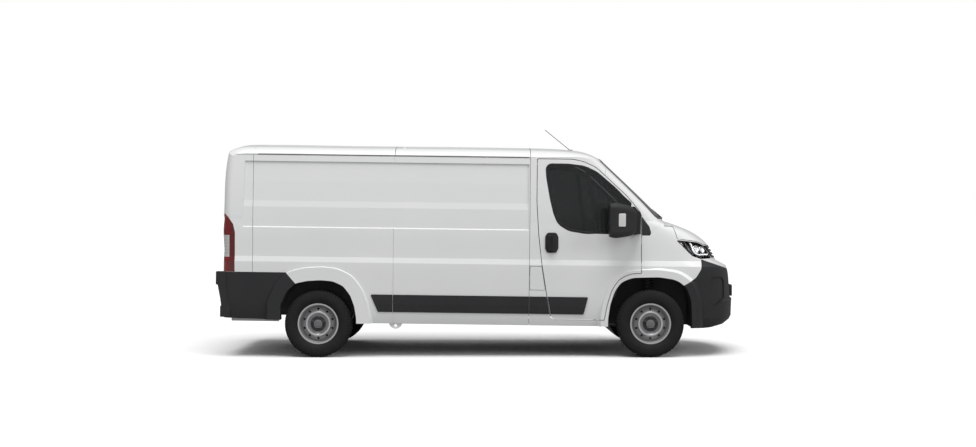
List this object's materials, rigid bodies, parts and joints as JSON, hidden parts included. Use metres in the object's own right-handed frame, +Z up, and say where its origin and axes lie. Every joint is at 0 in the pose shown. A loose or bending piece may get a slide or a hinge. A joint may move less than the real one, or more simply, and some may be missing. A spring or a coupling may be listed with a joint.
{
  "type": "panel van",
  "caption": "Medium panel van with a closed load space, hinged cab and rear doors, an opening bonnet and steered front wheels.",
  "frame": {"origin": "on the ground, midway between the ends of the van and on its centre plane", "axes": "+X to the front of the van, +Y to its left, +Z up"},
  "size_m": [5.5018, 2.5326, 2.4135],
  "materials": {
    "body_paint": "gloss white paint",
    "dark_plastic": "grained dark plastic",
    "window_glass": "tinted glass",
    "lamp_glass": "clear lamp cover",
    "lamp_red": "red lamp cover",
    "tyre_rubber": "moulded tread",
    "wheel_steel": "silver painted steel",
    "chassis_metal": "dark underbody coating",
    "cast_metal": "cast",
    "bright_metal": "plain",
    "seat_cloth": "woven cloth",
    "cab_plastic": "fine grain"
  },
  "bodies": {
    "van_body": {"floor": "body_paint", "chassis_rails": "chassis_metal", "body_side_right": "body_paint", "body_side_left": "body_paint", "sliding_door": "body_paint", "roof": "body_paint", "cab_frame": "body_paint", "rear_frame": "body_paint", "wings": "body_paint", "nose_trim": "body_paint", "windscreen": "window_glass", "front_bumper": "dark_plastic", "grille": "dark_plastic", "headlamps": "lamp_glass", "tail_lamps": "lamp_red", "rear_bumper": "dark_plastic", "body_mouldings": "dark_plastic", "pillar_covers": "dark_plastic", "aerial": "dark_plastic", "wipers": "dark_plastic", "arch_liners": "dark_plastic", "firewall": "chassis_metal", "bulkhead": "body_paint", "dashboard": "cab_plastic", "seats": "seat_cloth", "steering_wheel": "cab_plastic", "engine": "cast_metal", "fuel_tank": "cab_plastic", "exhaust": "bright_metal", "front_suspension": "chassis_metal", "rear_axle": "cast_metal", "leaf_springs": "chassis_metal"},
    "knuckle_right": {"knuckle_right": "cast_metal"},
    "wheel_front_right": {"tyre_front_right": "tyre_rubber", "rim_front_right": "wheel_steel"},
    "wheel_rear_right": {"tyre_rear_right": "tyre_rubber", "rim_rear_right": "wheel_steel"},
    "door_front_right": {"door_front_right": "body_paint", "door_glass_right": "window_glass", "door_trim_right": "dark_plastic"},
    "rear_door_right": {"rear_door_right": "body_paint", "rear_door_trim_right": "dark_plastic"},
    "knuckle_left": {"knuckle_left": "cast_metal"},
    "wheel_front_left": {"tyre_front_left": "tyre_rubber", "rim_front_left": "wheel_steel"},
    "wheel_rear_left": {"tyre_rear_left": "tyre_rubber", "rim_rear_left": "wheel_steel"},
    "door_front_left": {"door_front_left": "body_paint", "door_glass_left": "window_glass", "door_trim_left": "dark_plastic"},
    "rear_door_left": {"rear_door_left": "body_paint", "rear_door_trim_left": "dark_plastic"},
    "bonnet": {"bonnet": "body_paint"},
    "fuel_flap": {"fuel_flap": "body_paint"}
  },
  "joints": [
    {"name": "steer_right", "type": "hinge", "parent": "van_body", "child": "knuckle_right", "pos_m": [1.772, -0.86, 0.348], "axis": [0, 0, 1], "range_deg": [-33, 33]},
    {"name": "spin_front_right", "type": "hinge", "parent": "knuckle_right", "child": "wheel_front_right", "pos_m": [1.772, -0.905, 0.348], "axis": [0, 1, 0], "continuous": true},
    {"name": "spin_rear_right", "type": "hinge", "parent": "van_body", "child": "wheel_rear_right", "pos_m": [-1.678, -0.895, 0.348], "axis": [0, 1, 0], "continuous": true},
    {"name": "front_door_right", "type": "hinge", "parent": "van_body", "child": "door_front_right", "pos_m": [1.68164, -0.994, 0.87806], "axis": [0.0131, 0.061, 0.998], "range_deg": [0, 70]},
    {"name": "rear_door_hinge_right", "type": "hinge", "parent": "van_body", "child": "rear_door_right", "pos_m": [-2.67775, -0.826, 1.33517], "axis": [0.0131, 0, 0.9999], "range_deg": [0, 90]},
    {"name": "steer_left", "type": "hinge", "parent": "van_body", "child": "knuckle_left", "pos_m": [1.772, 0.86, 0.348], "axis": [0, 0, 1], "range_deg": [-33, 33]},
    {"name": "spin_front_left", "type": "hinge", "parent": "knuckle_left", "child": "wheel_front_left", "pos_m": [1.772, 0.905, 0.348], "axis": [0, 1, 0], "continuous": true},
    {"name": "spin_rear_left", "type": "hinge", "parent": "van_body", "child": "wheel_rear_left", "pos_m": [-1.678, 0.895, 0.348], "axis": [0, 1, 0], "continuous": true},
    {"name": "front_door_left", "type": "hinge", "parent": "van_body", "child": "door_front_left", "pos_m": [1.68164, 0.994, 0.87806], "axis": [-0.0131, 0.061, -0.998], "range_deg": [0, 70]},
    {"name": "rear_door_hinge_left", "type": "hinge", "parent": "van_body", "child": "rear_door_left", "pos_m": [-2.67775, 0.826, 1.33517], "axis": [-0.0131, 0, -0.9999], "range_deg": [0, 90]},
    {"name": "bonnet_hinge", "type": "hinge", "parent": "van_body", "child": "bonnet", "pos_m": [1.90882, 0, 1.42514], "axis": [0, -1, 0], "range_deg": [0, 50]},
    {"name": "fuel_flap_hinge", "type": "hinge", "parent": "van_body", "child": "fuel_flap", "pos_m": [0.51982, -1.007, 0.82327], "axis": [-0.0131, 0, -0.9999], "range_deg": [0, 100]}
  ],
  "couplings": [
    {"joint": "steer_left", "follows": "steer_right", "ratio": 1}
  ]
}
